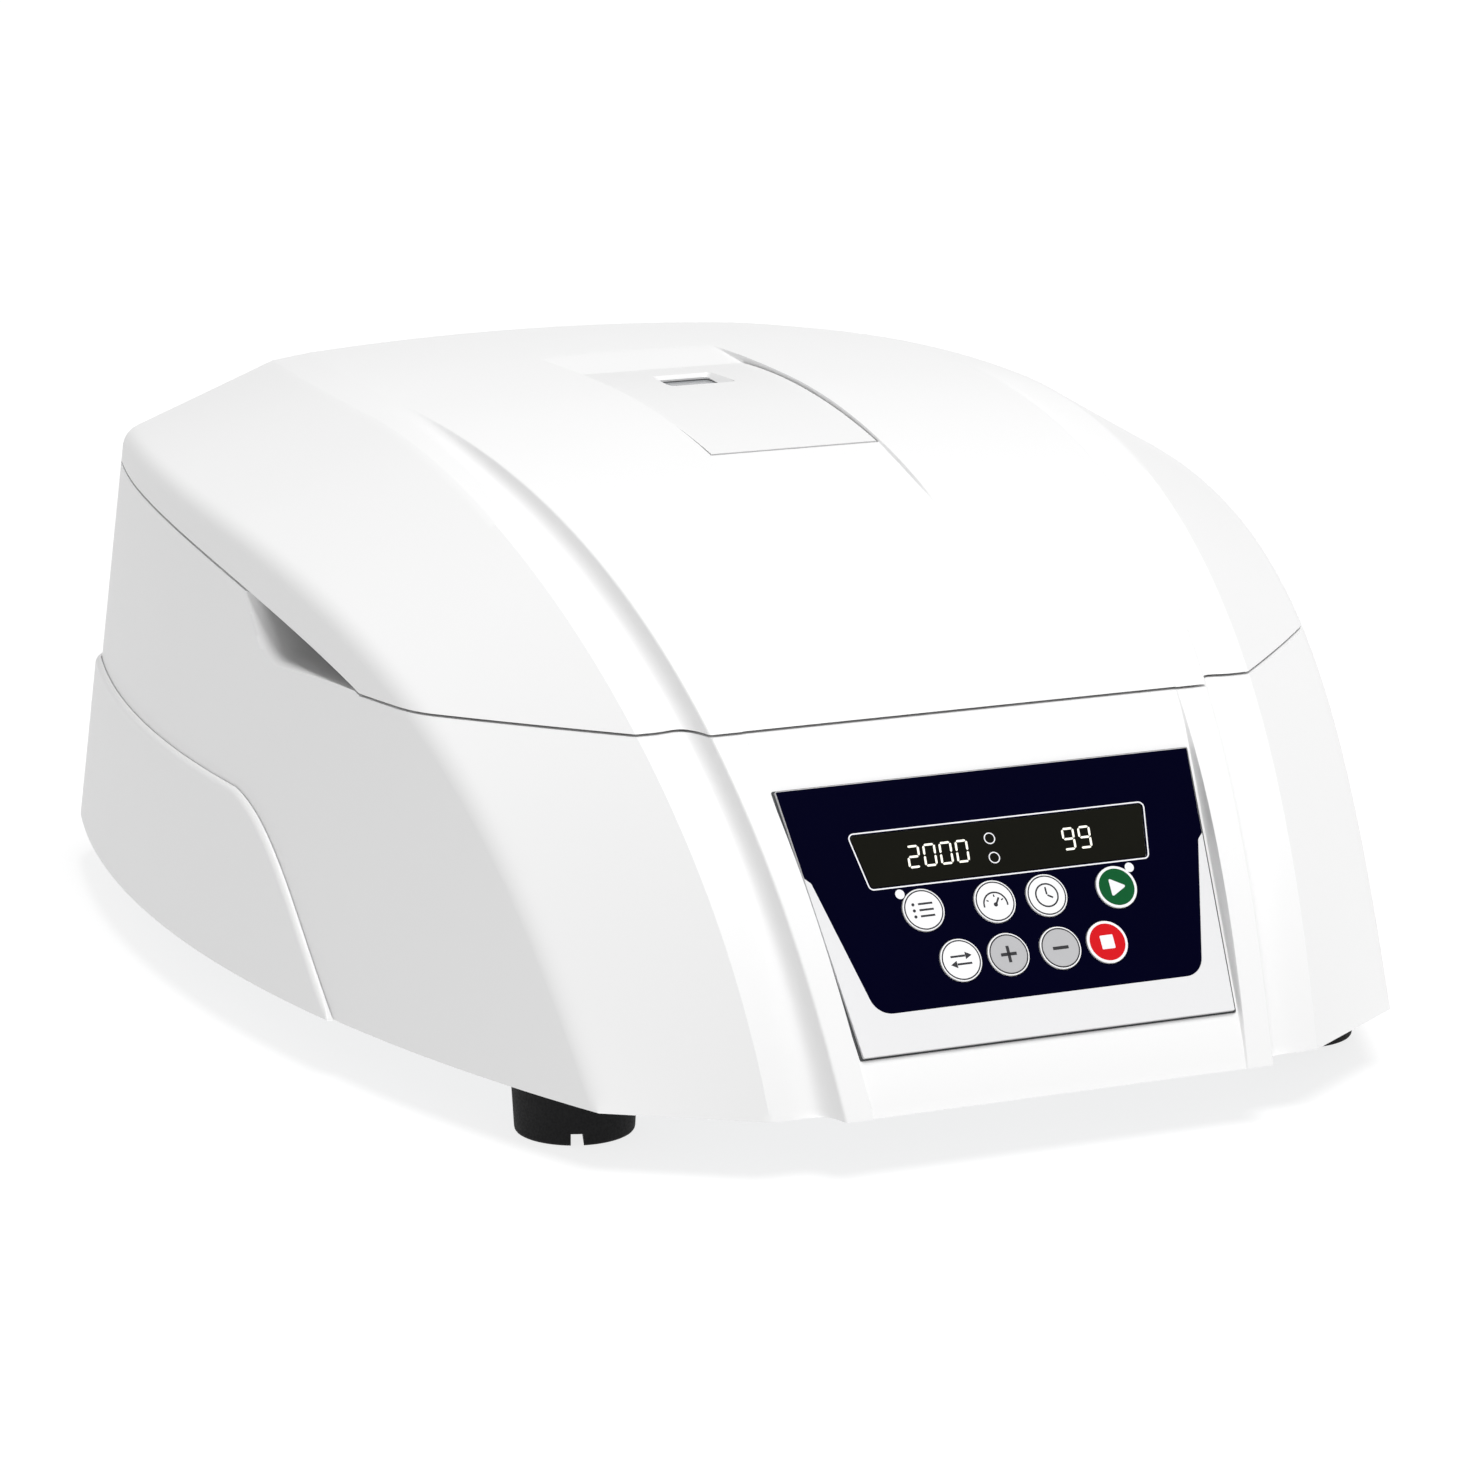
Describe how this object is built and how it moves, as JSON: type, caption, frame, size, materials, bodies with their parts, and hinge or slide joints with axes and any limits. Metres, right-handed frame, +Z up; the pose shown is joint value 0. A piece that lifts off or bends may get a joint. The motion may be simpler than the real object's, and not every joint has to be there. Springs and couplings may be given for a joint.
{
  "type": "cytocentrifuge",
  "caption": "Bench cytocentrifuge with a clamshell lid over a steel chamber, a swing-out slide rotor and a sloping keypad and display.",
  "frame": {"origin": "middle of the footprint, on the bench that the four feet stand on", "axes": "+X to the right of someone facing the control panel, +Y to the back, +Z up"},
  "size_m": [0.4502, 0.55, 0.2258],
  "materials": {
    "white_shell": "satin moulded ABS, very fine grain",
    "white_trim": "satin white plastic",
    "zinc_steel": "zinc-plated sheet steel",
    "stainless": "spun and brushed stainless steel",
    "rotor_aluminium": "turned aluminium, clear anodised",
    "motor_paint": "satin black paint",
    "foot_rubber": "matt black rubber",
    "seal_rubber": "dark grey silicone",
    "navy_film": "printed navy film, semi-gloss",
    "display_black": "clear window over a black display",
    "smoked_pane": "smoked polycarbonate",
    "black_plastic": "black nylon, fine texture",
    "board_green": "green solder mask",
    "key_white": "satin white key",
    "key_green": "satin green key",
    "key_red": "satin red key",
    "key_grey": "satin grey key",
    "funnel_plastic": "natural polypropylene"
  },
  "bodies": {
    "root": {"main_housing": "white_shell", "base_plate": "zinc_steel", "foot_front_left": "foot_rubber", "foot_front_right": "foot_rubber", "foot_rear_left": "foot_rubber", "foot_rear_right": "foot_rubber", "rear_cover": "white_shell", "control_plate": "white_trim", "control_overlay": "navy_film", "display_lens": "display_black", "display_module": "black_plastic", "key_board": "board_green", "chamber_bowl": "stainless", "chamber_seal": "seal_rubber", "guard_ring": "zinc_steel", "motor_bush_1": "foot_rubber", "motor_bush_2": "foot_rubber", "motor_bush_3": "foot_rubber", "motor_bracket": "zinc_steel", "motor_body": "motor_paint", "lock_body": "zinc_steel", "hinge_bracket_left": "zinc_steel", "hinge_bracket_right": "zinc_steel", "hinge_pin_left": "stainless", "hinge_pin_right": "stainless", "power_inlet": "black_plastic", "switch_frame": "black_plastic", "power_board": "board_green"},
    "lid": {"lid_shell": "white_shell", "window_plate": "white_trim", "window_pane": "smoked_pane", "lid_liner": "white_trim", "lid_hook": "zinc_steel", "hinge_arm_left": "zinc_steel", "hinge_arm_right": "zinc_steel"},
    "pawl": {"lock_pawl": "zinc_steel"},
    "rocker": {"power_rocker": "black_plastic"},
    "program_key": {"key_program": "key_white"},
    "time_key": {"key_time": "key_white"},
    "speed_key": {"key_speed": "key_white"},
    "start_key": {"key_start": "key_green"},
    "units_key": {"key_units": "key_white"},
    "plus_key": {"key_plus": "key_grey"},
    "minus_key": {"key_minus": "key_grey"},
    "stop_key": {"key_stop": "key_red"},
    "rotor": {"motor_shaft": "stainless", "rotor_disc": "rotor_aluminium", "rotor_knob": "black_plastic"},
    "carrier_1": {"slide_clip_1": "stainless", "sample_funnel_1": "funnel_plastic"},
    "carrier_2": {"slide_clip_2": "stainless", "sample_funnel_2": "funnel_plastic"},
    "carrier_3": {"slide_clip_3": "stainless", "sample_funnel_3": "funnel_plastic"},
    "carrier_4": {"slide_clip_4": "stainless", "sample_funnel_4": "funnel_plastic"},
    "carrier_5": {"slide_clip_5": "stainless", "sample_funnel_5": "funnel_plastic"},
    "carrier_6": {"slide_clip_6": "stainless", "sample_funnel_6": "funnel_plastic"}
  },
  "joints": [
    {"name": "lid_hinge", "type": "hinge", "parent": "root", "child": "lid", "pos_m": [0, 0.25892, 0.17466], "axis": [-1, 0, 0], "range_deg": [0, 75]},
    {"name": "pawl_turn", "type": "hinge", "parent": "root", "child": "pawl", "pos_m": [0, -0.146, 0.112], "axis": [1, 0, 0], "range_deg": [0, 15], "stiffness_Nm_per_rad": 0.1, "springref_deg": -5.73},
    {"name": "rocker_tilt", "type": "hinge", "parent": "root", "child": "rocker", "pos_m": [-0.062, 0.26891, 0.0619], "axis": [1, 0, 0], "range_deg": [0, 16]},
    {"name": "program_press", "type": "slide", "parent": "root", "child": "program_key", "axis": [0, 0.8275, -0.5615], "range_m": [0, 0.0006], "stiffness_N_per_m": 500},
    {"name": "time_press", "type": "slide", "parent": "root", "child": "time_key", "axis": [0, 0.8275, -0.5615], "range_m": [0, 0.0006], "stiffness_N_per_m": 500},
    {"name": "speed_press", "type": "slide", "parent": "root", "child": "speed_key", "axis": [0, 0.8275, -0.5615], "range_m": [0, 0.0006], "stiffness_N_per_m": 500},
    {"name": "start_press", "type": "slide", "parent": "root", "child": "start_key", "axis": [0, 0.8275, -0.5615], "range_m": [0, 0.0006], "stiffness_N_per_m": 500},
    {"name": "units_press", "type": "slide", "parent": "root", "child": "units_key", "axis": [0, 0.8275, -0.5615], "range_m": [0, 0.0006], "stiffness_N_per_m": 500},
    {"name": "plus_press", "type": "slide", "parent": "root", "child": "plus_key", "axis": [0, 0.8275, -0.5615], "range_m": [0, 0.0006], "stiffness_N_per_m": 500},
    {"name": "minus_press", "type": "slide", "parent": "root", "child": "minus_key", "axis": [0, 0.8275, -0.5615], "range_m": [0, 0.0006], "stiffness_N_per_m": 500},
    {"name": "stop_press", "type": "slide", "parent": "root", "child": "stop_key", "axis": [0, 0.8275, -0.5615], "range_m": [0, 0.0006], "stiffness_N_per_m": 500},
    {"name": "rotor_spin", "type": "hinge", "parent": "root", "child": "rotor", "pos_m": [0, 0.063, 0.132], "axis": [0, 0, 1], "continuous": true},
    {"name": "carrier_1_swing", "type": "hinge", "parent": "rotor", "child": "carrier_1", "pos_m": [0.1055, 0.063, 0.1378], "axis": [0, -1, 0], "range_deg": [0, 12]},
    {"name": "carrier_2_swing", "type": "hinge", "parent": "rotor", "child": "carrier_2", "pos_m": [0.05275, 0.15437, 0.1378], "axis": [0.866, -0.5, 0], "range_deg": [0, 12]},
    {"name": "carrier_3_swing", "type": "hinge", "parent": "rotor", "child": "carrier_3", "pos_m": [-0.05275, 0.15437, 0.1378], "axis": [0.866, 0.5, 0], "range_deg": [0, 12]},
    {"name": "carrier_4_swing", "type": "hinge", "parent": "rotor", "child": "carrier_4", "pos_m": [-0.1055, 0.063, 0.1378], "axis": [0, 1, 0], "range_deg": [0, 12]},
    {"name": "carrier_5_swing", "type": "hinge", "parent": "rotor", "child": "carrier_5", "pos_m": [-0.05275, -0.02837, 0.1378], "axis": [-0.866, 0.5, 0], "range_deg": [0, 12]},
    {"name": "carrier_6_swing", "type": "hinge", "parent": "rotor", "child": "carrier_6", "pos_m": [0.05275, -0.02837, 0.1378], "axis": [-0.866, -0.5, 0], "range_deg": [0, 12]}
  ],
  "couplings": [
    {"joint": "carrier_2_swing", "follows": "carrier_1_swing", "ratio": 1},
    {"joint": "carrier_3_swing", "follows": "carrier_1_swing", "ratio": 1},
    {"joint": "carrier_4_swing", "follows": "carrier_1_swing", "ratio": 1},
    {"joint": "carrier_5_swing", "follows": "carrier_1_swing", "ratio": 1},
    {"joint": "carrier_6_swing", "follows": "carrier_1_swing", "ratio": 1}
  ]
}
